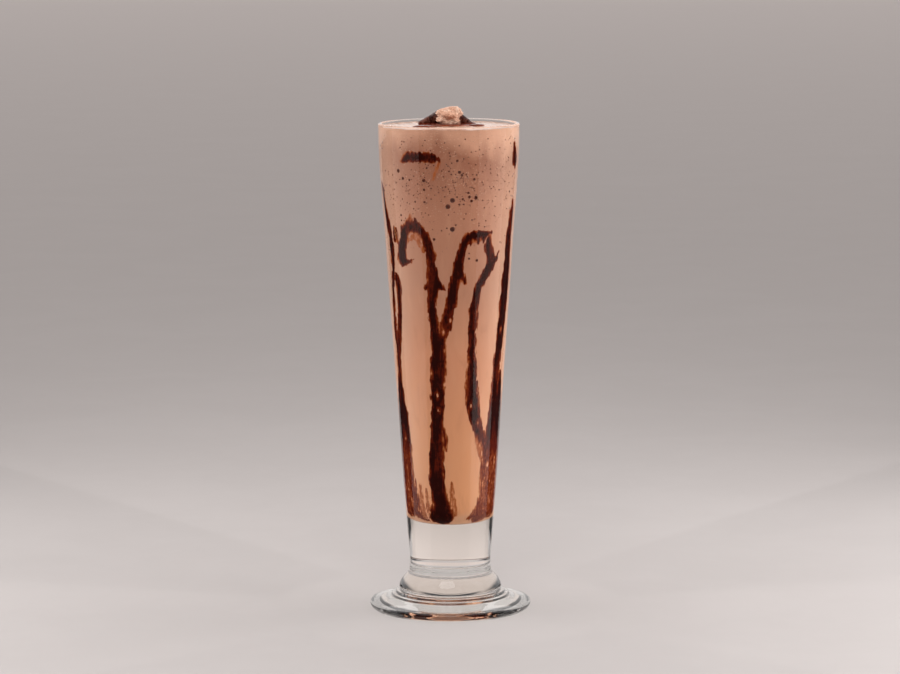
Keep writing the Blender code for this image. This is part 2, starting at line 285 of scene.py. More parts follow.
def buildFrothGrain():
    # Tiny bubbles: Dots is 1 in a bubble, Rims is 1 round it, and both thin out as Amount goes to 0.
    tree, entry, leave = newGroup(
        "frothGrain",
        {"Vector": ("Vector", (0, 0, 0)), "Size": ("Float", 1.0), "Amount": ("Float", 0.5)},
        {"Dots": ("Float", 0.0), "Rims": ("Float", 0.0)})
    scale = addMath(tree, "DIVIDE", 1.0, entry["Size"])
    cells = addNode(tree, "TexVoronoi", {"Vector": entry["Vector"], "Scale": scale})
    draw = addNode(tree, "SeparateColor", {"Color": cells.outputs["Color"]}).outputs
    kept = addMath(tree, "LESS_THAN", draw["Red"], entry["Amount"])
    reach = addRange(tree, draw["Green"], 0.0, 1.0, 0.12, 0.34)
    inner = addMath(tree, "SUBTRACT", 1.0, addMath(tree, "DIVIDE", cells.outputs["Distance"], reach), True)
    dots = addMath(tree, "MULTIPLY", addRange(tree, inner, 0.0, 0.45), kept)
    outer = addMath(tree, "DIVIDE", cells.outputs["Distance"], addMath(tree, "MULTIPLY", reach, 1.55))
    outer = addMath(tree, "SUBTRACT", 1.0, outer, True)
    rims = addMath(tree, "MULTIPLY", addRange(tree, outer, 0.0, 0.3), kept)
    rims = addMath(tree, "SUBTRACT", rims, dots, True)
    tree.links.new(dots, leave["Dots"])
    tree.links.new(rims, leave["Rims"])
    return tree


milkLook = {
    "stops": [  # height in millimetres and colour of the milkshake seen through the wall
        (44, (232, 162, 116)),
        (80, (227, 157, 114)),
        (125, (215, 147, 112)),
        (160, (190, 134, 107)),
        (200, (184, 126, 100)),
        (226, (160, 104, 81)),
        (236, (210, 154, 126)),
    ],
    "bottom": (112, 50, 28),  # thin syrup that lies on the inside's bottom
    "streak": 0.16,  # strength of the soft streaks
}


def buildMilkTint():
    # The milkshake's colour at a place, warmer low down and greyer high up, with soft streaks.
    tree, entry, leave = newGroup(
        "milkTint", {"Vector": ("Vector", (0, 0, 0))}, {"Color": ("Color", (0.5, 0.3, 0.2, 1))})
    rise = addNode(tree, "SeparateXYZ", {"Vector": entry["Vector"]}).outputs["Z"]
    drift = addNoise(tree, addScaled(tree, entry["Vector"], (1, 1, 0.4)), 0.07, 2.0)
    drift = addMath(tree, "MULTIPLY", addMath(tree, "SUBTRACT", drift, 0.5), 30.0)
    height = addMath(tree, "ADD", rise, drift)
    low, high = milkLook["stops"][0][0], milkLook["stops"][-1][0]
    limits = {"Value": height, "From Min": low, "From Max": high}
    share = addNode(tree, "MapRange", limits).outputs["Result"]
    stops = [((place - low) / (high - low), tone(*colour)) for place, colour in milkLook["stops"]]
    colour = addRamp(tree, share, stops)
    stretched = addScaled(tree, entry["Vector"], (1, 1, 0.22))
    streak = addNoise(tree, stretched, 0.22, 4.0, 0.55, 0.8)
    pale = addRange(tree, streak, 0.5, 0.75, 0.0, milkLook["streak"])
    deep = addRange(tree, streak, 0.5, 0.25, 0.0, milkLook["streak"])
    colour = addMix(tree, pale, colour, tone(224, 170, 138))
    colour = addMix(tree, deep, colour, tone(158, 98, 72))
    under = addMath(tree, "ADD", rise, addMath(tree, "MULTIPLY", streak, 0.5))
    colour = addMix(tree, addRange(tree, under, 44.7, 44.35, 0.0, 0.9), colour, tone(*milkLook["bottom"]))
    tree.links.new(colour, leave["Color"])
    return tree


syrupLook = [  # thickness over which each colour comes in, from an orange brown film to almost black
    (0.0, 0.1, (174, 96, 56)),
    (0.06, 0.26, (122, 46, 16)),
    (0.24, 0.52, (90, 24, 7)),
    (0.5, 0.95, (42, 8, 3)),
]


def buildSyrupTint(milkTint):
    # Syrup over milkshake, by the syrup's thickness.
    tree, entry, leave = newGroup(
        "syrupTint",
        {"Vector": ("Vector", (0, 0, 0)), "Thick": ("Float", 1.0)},
        {"Color": ("Color", (0.02, 0.01, 0.005, 1))})
    under = useGroup(tree, milkTint, {"Vector": entry["Vector"]})["Color"]
    colour = under
    for low, high, shade in syrupLook:
        colour = addMix(tree, addRange(tree, entry["Thick"], low, high), colour, tone(*shade))
    tree.links.new(colour, leave["Color"])
    return tree


softMottle = buildSoftMottle()
frothGrain = buildFrothGrain()
milkTint = buildMilkTint()
syrupTint = buildSyrupTint(milkTint)


# The glass

glass = {
    "bowl": [  # height and outer radius down the bowl and its solid base
        (240, 34.5), (224, 34.1), (206, 33.0), (188, 31.6), (165, 30.1), (141, 28.4),
        (117, 26.7), (93, 24.9), (69, 23.3), (45, 21.5), (32, 20.5), (24.4, 20.0)],
    "foot": [  # height and radius down the neck, the knop, two steps and the foot's slope
        (23.0, 20.0), (22.75, 19.72), (22.45, 19.72), (21.4, 20.1), (19.4, 20.3), (17.9, 20.7),
        (16.7, 21.8), (14.4, 23.7), (12.2, 24.9),
        (10.4, 25.3), (9.2, 25.0), (8.7, 26.4), (7.9, 27.3), (7.4, 28.6), (6.6, 29.4), (6.1, 31.0),
        (5.3, 34.5), (4.4, 37.6), (3.7, 39.1), (2.7, 39.7), (1.35, 39.3), (0.38, 38.2), (0, 36.6)],
    "recess": [  # under the foot
        (0, 34), (0.07, 33), (0.21, 32), (0.43, 31), (0.74, 30), (1.12, 29), (1.58, 28), (2.56, 26),
        (3.45, 24), (4.6, 20.5), (5.9, 15), (6.9, 9), (7.5, 0)],
    "rimWall": 1.8,
    "baseWall": 3.7,
    "insideBottom": 44,
    "insideCorner": 9,
    "around": 208,
}
cornerTop = glass["insideBottom"] + glass["insideCorner"]
bowlCurve = smoothCurve(glass["bowl"], 12)[::-1]


def bowlRadius(height):
    return np.interp(height, bowlCurve[:, 0], bowlCurve[:, 1])


def boreRadius(height):
    top = glass["bowl"][0][0]
    share = (top - height) / (top - glass["insideBottom"])
    return bowlRadius(height) - glass["rimWall"] - (glass["baseWall"] - glass["rimWall"]) * share


def wallProfile(along, inset):
    # Radius and height on the bowl's inside, moved inward by inset. Under the corner's top, along runs
    # round the corner and then in over the flat bottom.
    corner = glass["insideCorner"]
    bend = np.clip((cornerTop - along) / corner, 0, math.pi / 2)
    over = np.maximum(cornerTop - along - corner * math.pi / 2, 0)
    reach = corner - inset
    low = along < cornerTop
    curved = boreRadius(cornerTop) - corner + reach * np.cos(bend) - over
    radius = np.where(low, curved, boreRadius(np.maximum(along, cornerTop)) - inset)
    height = np.where(low, cornerTop - reach * np.sin(bend), along)
    return radius, height


def wallPoints(turn, along, inset):
    radius, height = wallProfile(along, inset)
    return np.stack([radius * np.sin(turn), -radius * np.cos(turn), height], -1) * mm


def buildGlassMaterial():
    # Clear glass with faint waves and smudges. Light for shadows and matt things goes straight through.
    made, tree, shader, place = newMaterial("clearGlass")
    shader.inputs["Base Color"].default_value = (0.99, 0.995, 0.99, 1)
    shader.inputs["Transmission Weight"].default_value = 1.0
    shader.inputs["Metallic"].default_value = 0.0
    shader.inputs["IOR"].default_value = 1.5
    smudge = useGroup(tree, softMottle, {"Vector": place, "Size": 22.0, "Fine": 0.5})["Value"]
    tree.links.new(addRange(tree, smudge, 0.5, 0.8, 0.0, 0.025), shader.inputs["Roughness"])
    waves = useGroup(tree, softMottle, {"Vector": place, "Size": 24.0, "Fine": 0.03})["Value"]
    bump = addNode(tree, "Bump", {"Height": waves, "Strength": 0.06, "Distance": 0.0004})
    tree.links.new(bump.outputs["Normal"], shader.inputs["Normal"])
    light = addNode(tree, "LightPath").outputs
    straight = addNode(tree, "BsdfTransparent", {"Color": (0.96, 0.97, 0.96, 1)}).outputs[0]
    inner = addNode(tree, "MixShader", {0: light["Is Diffuse Ray"], 1: shader.outputs[0], 2: straight})
    outer = addNode(tree, "MixShader", {0: light["Is Shadow Ray"], 1: inner.outputs[0], 2: straight})
    tree.links.new(outer.outputs[0], tree.nodes["Material Output"].inputs["Surface"])
    return made


def buildGlass():
    # The inside from its centre up to the lip, round the lip, and down the outside to under the foot.
    rows = []
    top = glass["bowl"][0][0]
    lip = glass["rimWall"] / 2
    flatEnd = cornerTop - glass["insideCorner"] * math.pi / 2
    innerRun = [flatEnd - 9, flatEnd - 4]
    innerRun += list(np.linspace(flatEnd, cornerTop, 14))
    innerRun += list(np.arange(cornerTop + 3, top - lip - 1, 3)) + [top - lip]
    radius, height = wallProfile(np.array(innerRun), 0.0)
    rows += [(0.0, height[0])] + list(zip(radius, height))
    lipCentre = bowlRadius(top) - lip
    for turn in np.radians(np.arange(12, 180, 12)):
        rows.append((lipCentre - lip * math.cos(turn), top - lip + lip * math.sin(turn)))
    outer = smoothCurve([(top - lip, bowlRadius(top - lip))] + glass["bowl"][1:] + glass["foot"], 8)
    widest = max(r for h, r in glass["foot"])
    rows += [(min(r, widest), max(h, 0.0)) for h, r in outer]
    rows += [(r, h) for h, r in smoothCurve(glass["recess"], 5)]
    mesh = turnedMesh("drinking_glass", np.array(rows), glass["around"])
    return newObject("drinking_glass", mesh, buildGlassMaterial())


glassPiece = buildGlass()
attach(glassPiece, "root")
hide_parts("glass")
print("glass done", len(glassPiece.data.polygons))


# The milkshake

milk = {
    "level": 238.2,
    "dome": 0.8,
    "creep": 0.5,  # how far the drink creeps up the wall
    "intoWall": 0.06,
    "around": 192,
    "roughTop": 0.22,
    "rough": [(0.6, 4.1), (0.5, 1.7), (0.3, 0.8)],  # share and size of the top's uneven patches
    "bubbles": [  # turn, along and radius of the larger bubbles that lie against the front wall
        (-22, 214.5, 0.9), (-22, 210, 0.65), (-36, 214.5, 0.6), (-19, 220.5, 0.55), (7, 224, 0.65),
        (9, 218.5, 0.8), (2, 217.5, 0.5), (11, 217, 0.65), (0, 219, 0.5), (22, 215, 0.65), (24, 217, 0.45),
        (17, 208.5, 0.65), (18, 206.5, 0.75), (24, 206, 0.95), (20, 204.5, 0.75), (3, 205, 1.2),
        (-1, 202, 1.15), (12, 205.5, 0.6), (7, 206.5, 0.45), (9, 203, 0.55), (13, 203, 0.5),
        (-22, 204, 0.6), (-31, 204, 0.5), (-3, 211.5, 0.5), (3, 191, 1.2), (-2, 191.5, 0.45),
        (-14, 186, 0.7), (19, 176.5, 0.6), (27, 175.5, 0.75), (19, 179, 0.45), (-48, 197, 0.6),
        (-48, 194.5, 0.5), (-48, 218.5, 0.95), (-43, 215, 0.8), (6, 193, 0.5)],
    "clusters": [(15, 213), (-30, 212), (8, 205), (-12, 216), (22, 208), (-22, 206), (2, 218), (12, 209)],
    "clusterSpread": 5.0,
    "moreClusters": 30,  # drawn all round, each with a seeded place and spread
    "moreAlong": (209, 9),  # their mean height and how far they stray from it
    "moreSpread": (3, 9),
    "loose": (236, 58, 4.0),  # bubbles outside the clusters: highest, how far down, and spread
    "range": (150, 235),  # lowest and highest small bubble
    "count": 2600,  # bubbles in all
    "tries": 20000,
    "apart": 0.1,  # least gap between two bubbles
    "smallest": 0.13,
    "larger": {True: (0.3, 2.6), False: (0.6, 7)},  # what a draw to a power adds, in front or elsewhere
    "seed": 4,
}


def drinkTop(radius):
    share = radius / boreRadius(milk["level"])
    return milk["level"] + milk["dome"] * (1 - share ** 2) + milk["creep"] * share ** 12


def roughTop(points):
    # Unevenness of the frothy surface, in millimetres, which dies out down the wall.
    x, y, z = points[..., 0] + 80, points[..., 1] + 80, points[..., 2]
    on = ease(milk["level"] - 0.6, milk["level"] + 0.1, z)
    rise = sum(share * patches(x, y, size, size, 11 + number)
               for number, (share, size) in enumerate(milk["rough"]))
    return milk["roughTop"] * on * rise


def drawBubbles():
    # Larger bubbles as listed, and small ones in loose clusters below the rim, clear of each other.
    chance = np.random.default_rng(milk["seed"])
    spots = [(math.radians(turn), along, radius) for turn, along, radius in milk["bubbles"]]
    circle = 2 * math.pi
    wall = 31  # the wall's radius where most bubbles are
    clusters = []
    for _ in range(milk["moreClusters"]):
        turn, along = chance.uniform(0, circle), chance.normal(*milk["moreAlong"])
        clusters.append((turn, along, chance.uniform(*milk["moreSpread"])))
    for turn, along in milk["clusters"] * 3:
        clusters.append((math.radians(turn), along, milk["clusterSpread"]))
    highest, down, looseSpread = milk["loose"]
    places = np.array(spots)
    tries = 0
    while len(places) < milk["count"] and tries < milk["tries"]:
        tries += 1
        turn, along, spread = clusters[chance.integers(len(clusters))]
        if chance.uniform() < 0.5:
            turn, spread = chance.uniform(0, circle), looseSpread
            along = highest - down * chance.uniform() ** 1.5
        turn = (turn + chance.normal(0, spread / 30)) % circle
        along = along + chance.normal(0, spread * 0.7)
        more, power = milk["larger"][math.cos(turn) > 0.45]
        radius = milk["smallest"] + more * chance.uniform() ** power
        if not milk["range"][0] <= along <= milk["range"][1]:
            continue
        across = (turn - places[:, 0] + math.pi) % circle - math.pi
        gaps = np.hypot(across * wall, along - places[:, 1]) - places[:, 2] - radius
        if gaps.min() > milk["apart"]:
            places = np.vstack([places, (turn, along, radius)])
    return places.tolist()


def buildBubbleCutter(spots):
    # All bubbles as one mesh of balls, each with its centre a little inside the wall of the drink.
    points, faces = [], []
    shapes = {}
    for detail in (1, 2, 3):
        ball, sides = ballShape(detail, 1.0)
        shapes[detail] = (np.array(ball), sides)
    for turn, along, radius in spots:
        ball, sides = shapes[3 if radius > 0.6 else 2 if radius > 0.3 else 1]
        centre = wallPoints(turn, along, radius * 0.15 - milk["intoWall"])
        start = len(points)
        points += (ball * radius * mm + centre).tolist()
        faces += [[start + i for i in side] for side in sides]
    mesh = newMesh("bubble_cutter", points, faces)
    obj = bpy.data.objects.new("bubble_cutter", mesh)
    scene.collection.objects.link(obj)
    return obj


def buildMilkMaterial():
    made, tree, shader, place = newMaterial("chocolateMilk")
    colour = useGroup(tree, milkTint, {"Vector": place})["Color"]
    height = addNode(tree, "SeparateXYZ", {"Vector": place}).outputs["Z"]
    upper = addRange(tree, height, 186.0, 214.0)
    crown = addRange(tree, height, 226.0, 236.0)
    broad = useGroup(tree, softMottle, {"Vector": place, "Size": 9.0, "Fine": 0.9})["Value"]
    share = addMath(tree, "MULTIPLY", upper, addRange(tree, broad, 0.42, 0.66, 0.04, 0.55))
    share = addMath(tree, "ADD", addMath(tree, "MULTIPLY", crown, 0.4), share)
    finer = useGroup(tree, frothGrain, {"Vector": place, "Size": 0.8, "Amount": share})
    # Painted shade in the tiny bubbles, and painted highlights on their rims.
    colour = addMix(tree, addMath(tree, "MULTIPLY", finer["Dots"], 0.65), colour, tone(118, 66, 46))
    colour = addMix(tree, addMath(tree, "MULTIPLY", finer["Rims"], 0.5), colour, tone(230, 184, 156))
    # Painted sheen: milk seen at a slant is made paler, and the glass keeps that angle small.
    slant = addNode(tree, "LayerWeight", {"Blend": 0.5}).outputs["Facing"]
    colour = addMix(tree, addRange(tree, slant, 0.04, 0.26, 0.0, 0.3), colour, tone(232, 196, 172))
    # Painted shade: the walls of the bubble hollows are darkened by how deep they lie.
    hollowShade = addAttribute(tree, "hollowShade")
    colour = addMix(tree, addRange(tree, hollowShade, 0.0, 0.6, 0.0, 0.9), colour, tone(112, 42, 18))
    shader.inputs["Specular IOR Level"].default_value = 0.1
    opened = addAttribute(tree, "open")
    tree.links.new(opened, shader.inputs["Coat Weight"])
    shader.inputs["Coat Roughness"].default_value = 0.12
    rough = addRange(tree, broad, 0.3, 0.8, 0.35, 0.55)
    relief = addMath(tree, "SUBTRACT", finer["Rims"], finer["Dots"])
    relief = addMath(tree, "ADD", relief, addNoise(tree, place, 0.9, 5.0, 0.6))
    addFinish(tree, shader, colour, rough, relief, addRange(tree, opened, 0.0, 1.0, 0.15, 0.4), 0.0002)
    return made


def buildMilkshake():
    flatEnd = cornerTop - glass["insideCorner"] * math.pi / 2
    runs = [flatEnd - 8] + list(np.linspace(flatEnd, cornerTop, 10))
    runs += list(np.arange(cornerTop + 2.5, milk["level"] - 3, 2.5))
    runs += [milk["level"] - 1.5, milk["level"] - 0.4]
    radius, height = wallProfile(np.array(runs), -milk["intoWall"])
    side = list(zip(radius, height))
    edge = boreRadius(milk["level"]) + milk["intoWall"]
    across = edge * (1 - np.linspace(0, 1, 66) ** 1.15)
    top = [(r, drinkTop(r)) for r in across[:-1]]
    profile = [(0.0, height[0])] + side + top + [(0.0, drinkTop(0.0))]
    mesh = turnedMesh("milkshake_body", np.array(profile), milk["around"], roughTop)
    body = newObject("milkshake_body", mesh, buildMilkMaterial())
    cutter = buildBubbleCutter(drawBubbles())
    cut = body.modifiers.new("Bubbles", "BOOLEAN")
    cut.operation = "DIFFERENCE"
    cut.solver = "MANIFOLD"
    cut.object = cutter
    mesh = applied(body)
    bpy.data.objects.remove(cutter)
    mesh.set_sharp_from_angle(angle=math.radians(28))
    points = meshPoints(mesh) / mm
    reach = np.hypot(points[:, 0], points[:, 1])
    wall, _ = wallProfile(np.maximum(points[:, 2], cornerTop), -milk["intoWall"])
    sideways = (points[:, 2] > cornerTop + 2) & (points[:, 2] < milk["level"] - 2)
    # How deep each point lies in a bubble hollow, for the painted shade there.
    addValue(mesh, "hollowShade", np.where(sideways, np.clip((wall - reach - 0.05) / 0.5, 0, 1), 0.0))
    addValue(mesh, "open", ease(milk["level"] - 0.5, milk["level"] + 0.2, points[:, 2]))
    return body


milkPiece = buildMilkshake()
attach(milkPiece, "root")
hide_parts("milkshake")
print("milkshake done", len(milkPiece.data.polygons))


# Syrup on the inside of the wall

# Each run has its routes as (turn, along, half width). Gaps are small bare spots (turn, along, radius).
runs = {
    "syrup_run_centre": {
        "routes": [
            [(-50, 173, 0.8), (-50, 176, 3.2), (-50, 181, 3.0), (-47, 186, 2.8), (-43, 190, 2.6),
             (-37, 192, 2.7), (-30, 191, 2.7), (-24, 188, 2.3), (-20, 183, 2.2), (-17, 176, 2.3),
             (-16, 168, 2.6), (-16, 163, 3.2), (-17, 158, 2.2), (-17.5, 149, 2.1),
             (-16, 141, 2.3), (-13, 135, 3.4), (-13, 124, 3.4), (-14.5, 105, 3.1),
             (-16.5, 88, 3.0), (-18, 70, 3.6), (-16, 60, 3.2), (-13, 53, 4.2), (-13, 48, 5.6)],
            [(42, 188.5, 0.8), (34, 188, 1.6), (25.5, 188, 2.0), (17.5, 186.5, 2.1),
             (12.5, 182.5, 1.9), (10, 177, 2.0), (8, 171, 2.2), (4.5, 164, 2.2),
             (2.4, 157, 2.4), (-0.5, 150, 2.3), (-4, 142.5, 2.3), (-10, 136, 2.0)],
            [(-15, 165, 1.6), (-10, 163.2, 1.8), (-5, 161.6, 0.5)],
            [(-17, 164, 1.6), (-21, 162.8, 1.2), (-25, 162, 0.3)],
            [(8, 173, 1.4), (11, 168.3, 1.6), (15.5, 165, 0.4)],
            [(-48, 175, 1.8), (-42, 174.6, 1.3), (-35, 176, 0.3)],
            [(-11, 95, 0.4), (-6, 89, 0.9), (-4.5, 82, 0.3)],
            [(-39, 191, 1.8), (-37.6, 196, 0.3)],
            [(-31, 192, 1.6), (-32, 195.5, 0.3)],
            [(-47, 187, 1.6), (-49, 192, 0.3)],
            [(20, 187, 1.5), (20, 182.5, 0.3)],
            [(27, 188, 1.5), (27.5, 184, 0.3)],
            [(33, 188, 1.4), (34, 184.6, 0.3)],
        ],
        "films": [
            [(-46, 190, 1.0), (-38, 194, 1.9), (-31, 192, 1.0)],
            [(-38, 193, 1.6), (-37.4, 197.5, 0.6)],
            [(-55, 184, 1.6), (-59.5, 190.5, 0.7)],
            [(-43, 184, 1.2), (-33, 187, 1.4), (-25, 180, 1.2)],
            [(14, 184, 1.3), (24, 185.5, 1.5), (33, 186, 1.0)],
            [(-12, 164, 1.6), (-13, 158, 1.2)],
            [(9, 166, 1.4), (6, 160, 1.0)],
            [(-44, 64, 0.9), (-43, 56, 1.3), (-40, 48, 1.6)],
            [(-34, 62, 0.8), (-33, 55, 1.2), (-31, 48, 1.5)],
            [(2, 66, 0.7), (4, 58, 1.5), (5, 50, 1.8)],
        ],
        "gaps": [(-6, 141, 0.7), (-21, 120.5, 0.5), (-14, 109.5, 0.4), (-13, 102, 0.35), (1, 146.5, 0.55)],
    },
    "syrup_run_right": {
        "routes": [
            [(73.5, 203, 0.9), (73, 196, 2.6), (70.5, 181, 3.2), (70, 164, 3.9), (68, 149, 3.6),
             (64.5, 130, 3.1), (62, 111, 2.8), (63, 96, 4.4), (62.5, 82, 5.6), (61, 72, 6.0),
             (61.5, 60, 5.8), (57, 52, 5.8), (50, 48, 5.4)],
            [(39.7, 186.7, 0.8), (38.5, 182, 2.0), (42.5, 177.5, 2.4), (43, 173, 2.3),
             (37, 168.5, 2.2), (30, 163, 2.1), (27, 157, 2.0), (25, 148, 2.2), (24, 138, 1.9),
             (25.5, 124, 2.2), (27, 111, 2.9), (28.5, 104, 3.4), (33, 97, 3.1),
             (40, 90, 2.4), (47, 84.5, 1.8), (54, 79, 2.0)],
            [(43, 174, 1.6), (50, 175.5, 0.9), (53, 179, 0.3)],
            [(72, 118, 1.6), (78, 98, 4.0), (80, 80, 5.2), (80, 62, 5.4), (76, 50, 4.6)],
            [(52, 54, 2.6), (40, 49, 2.4), (28, 47, 0.8)],
        ],
        "films": [
            [(34, 90, 0.6), (38, 84, 1.2), (44, 76, 1.0)],
            [(36, 166, 1.0), (40, 170, 1.8)],
        ],
        "gaps": [(37, 95, 0.45), (25.5, 104, 0.35), (57, 73, 0.35), (66, 140, 0.4)],
        "fade": 0.68,  # how much thinner the syrup is low down
    },
    "syrup_run_left": {
        "routes": [
            [(-63, 168, 0.8), (-59.5, 164, 2.0), (-59, 154, 1.5), (-63, 140, 1.6),
             (-69, 128, 2.0), (-70, 117, 1.6), (-69.5, 108, 2.1), (-69, 99, 3.6), (-67.5, 89, 4.1),
             (-66, 78, 3.7), (-62, 67, 2.9), (-58, 58, 3.1), (-52, 49, 2.9)],
            [(-80, 211, 1.0), (-74, 197, 2.0), (-68, 185, 2.2), (-66.5, 172, 1.9),
             (-70.5, 157, 1.4), (-73, 142, 1.5), (-70, 129, 1.6)],
            [(-72, 118, 0.8), (-80, 100, 2.6), (-82, 82, 4.6), (-80, 64, 5.2), (-74, 50, 4.0)],
            [(-56, 52, 2.2), (-46, 47, 1.6), (-38, 45.5, 0.8)],
        ],
        "films": [[(-62, 70, 1.0), (-52, 58, 1.2), (-48, 50, 1.2)]],
        "gaps": [(-68, 86, 0.4)],
        "fade": 0.6,
    },
    "syrup_fleck_left": {
        "routes": [[(-60.3, 190.8, 0.6), (-58.5, 188, 2.0), (-60.5, 184.3, 0.8)]],
    },
    "syrup_patch_left": {
        "routes": [[(-43, 223.4, 0.8), (-36.5, 225.3, 2.0), (-28.5, 225.6, 2.2), (-20, 225.8, 2.1),
                    (-13.5, 225.3, 1.9), (-8.5, 224.3, 0.8)]],
        "films": [[(-8.5, 223.5, 0.9), (-11, 219, 0.8), (-14, 214, 0.75), (-16, 208, 0.6)]],
    },
    "syrup_patch_right": {
        "routes": [[(69, 230.5, 0.9), (71, 226.5, 2.2), (73, 222.5, 3.0), (74, 220, 1.0)]],
    },
    "syrup_run_back": {
        "routes": [
            [(126, 178, 0.8), (127, 183, 2.6), (131, 189, 2.6), (139, 193, 2.6), (148, 191, 2.5),
             (153, 184, 2.2), (155, 174, 2.4), (154, 160, 2.1), (157, 143, 2.4), (159, 124, 3.0),
             (158, 104, 2.8), (161, 84, 3.1), (160, 66, 3.0), (157, 54, 3.6), (156, 48, 4.8)],
            [(187, 180, 0.8), (184, 186, 2.0), (177, 187, 2.2), (171, 181, 2.0), (168, 171, 2.1),
             (166, 158, 2.2), (162, 146, 2.0), (158, 138, 1.8)],
        ],
        "gaps": [(157, 146, 0.7), (160, 110, 0.5)],
    },
    "syrup_run_back_left": {
        "routes": [[(212, 196, 0.9), (214, 186, 2.2), (212, 171, 2.4), (215, 152, 2.2),
                    (213, 131, 2.6), (210, 110, 2.4), (211, 90, 3.2), (208, 70, 3.0), (209, 54, 4.0),
                    (208, 48, 4.6)]],
        "gaps": [(212, 120, 0.5)],
    },
    "syrup_run_back_right": {
        "routes": [[(108, 186, 0.8), (110, 176, 1.9), (109, 158, 2.2), (112, 140, 2.0),
                    (111, 118, 2.3), (113, 96, 1.8), (112, 82, 0.8)]],
    },
    "syrup_patch_back": {
        "routes": [[(203, 221, 0.8), (197, 223, 2.0), (189, 222.4, 2.1), (182, 223.4, 0.8)]],
    },
}
film = {
    "cell": 0.3,  # size of the sheet's cells
    "intoWall": 0.12,  # the front face lies this far in the wall, before the milkshake's
    "depth": 0.9,
    "ragged": 0.5,  # how uneven the edges are
    "rough": [(0.75, 2.4, 5.5), (0.7, 1.1, 2.3), (0.45, 0.6, 1.1)],  # share, and size across and along
    "hair": 0.55,  # strength of the fine streaks that fray the edges
    "fringe": 1.3,  # widest thin film beside a run
    "wallRadius": 27,  # for laying out the cells and the patches
    "margins": (9, 6),  # how far a sheet may reach below and above its routes
    "least": 34,  # lowest place of a cell
}


def routeField(turn, along, route):
    # Millimetres inside the edge of a route, at each place, and negative outside it.
    rows = smoothCurve(route, 5)
    scale = boreRadius(np.maximum(along, cornerTop))
    field = np.full(turn.shape, -99.0)
    for start, end in zip(rows, rows[1:]):
        wide = max(start[2], end[2]) + 3
        close = (along > min(start[1], end[1]) - wide) & (along < max(start[1], end[1]) + wide)
        across = (turn[close] - math.radians(start[0])) * scale[close]
        up = along[close] - start[1]
        runX = math.radians(end[0] - start[0]) * scale[close]
        runY = end[1] - start[1]
        share = np.clip((across * runX + up * runY) / (runX ** 2 + runY ** 2 + 1e-9), 0, 1)
        away = np.hypot(across - share * runX, up - share * runY)
        half = start[2] + (end[2] - start[2]) * share
        field[close] = np.maximum(field[close], half - away)
    return field


def joined(first, second, blend=1.0):
    # The larger of two fields, with a rounded join.
    near = np.maximum(blend - np.abs(first - second), 0) / blend
    return np.maximum(first, second) + near * near * blend / 4


def cutSheet(values, columns):
    # Triangles of a grid where values > 0, cut along values = 0. Gives rows of (point, point, share)
    # for the points used and the triangles between them.
    values = np.where(np.abs(values) < 0.02, np.where(values < 0, -0.02, 0.02), values)
    rowsCount = len(values) // columns
    corner = (np.arange(rowsCount - 1)[:, None] * columns + np.arange(columns - 1)).ravel()
    lower = np.stack([corner, corner + 1, corner + columns + 1], 1)
    upper = np.stack([corner, corner + columns + 1, corner + columns], 1)
    triangles = np.concatenate([lower, upper])
    inside = values[triangles] > 0
    count = inside.sum(1)
    faces = [tuple(row) for row in triangles[count == 3].tolist()]
    places = {}
    used = []

    def pointAt(first, second):
        key = (first, second) if first < second else (second, first)
        if key not in places:
            places[key] = len(used)
            share = 0.0 if first == second else values[key[0]] / (values[key[0]] - values[key[1]])
            used.append((key[0], key[1], share))
        return places[key]

    done = [tuple(pointAt(i, i) for i in face) for face in faces]
    for three, flags in zip(triangles[(count == 1) | (count == 2)].tolist(),
                            inside[(count == 1) | (count == 2)].tolist()):
        turnBy = flags.index(sum(flags) == 1)
        a, b, c = three[turnBy:] + three[:turnBy]
        if sum(flags) == 1:
            done.append((pointAt(a, a), pointAt(a, b), pointAt(a, c)))
        else:
            first, second = pointAt(a, b), pointAt(a, c)
            done.append((first, pointAt(b, b), pointAt(c, c)))
            done.append((first, pointAt(c, c), second))
    return used, done


def buildWallSyrupMaterial():
    made, tree, shader, place = newMaterial("wallSyrup")
    # Thickness is broken up by streaks along the flow, so that red brown shows through in places.
    thick = addAttribute(tree, "thick")
    stretched = addScaled(tree, place, (1, 1, 0.16))
    streaks = addMath(tree, "SUBTRACT", addNoise(tree, stretched, 1.3, 4.0, 0.62), 0.5)
    blots = addMath(tree, "SUBTRACT", addNoise(tree, place, 0.45, 4.0, 0.6), 0.5)
    uneven = addMath(tree, "MULTIPLY", streaks, 1.2)
    uneven = addMath(tree, "ADD", uneven, addMath(tree, "MULTIPLY", blots, 0.9))
    felt = addRange(tree, thick, 0.05, 0.35, 0.25, 1.0)  # thin films are more even
    thick = addMath(tree, "ADD", thick, addMath(tree, "MULTIPLY", uneven, felt))
    colour = useGroup(tree, syrupTint, {"Vector": place, "Thick": thick})["Color"]
    shader.inputs["Specular IOR Level"].default_value = 0.03
    addFinish(tree, shader, colour, addRange(tree, blots, -0.2, 0.2, 0.3, 0.5), uneven, 0.3, 0.0003)
    return made


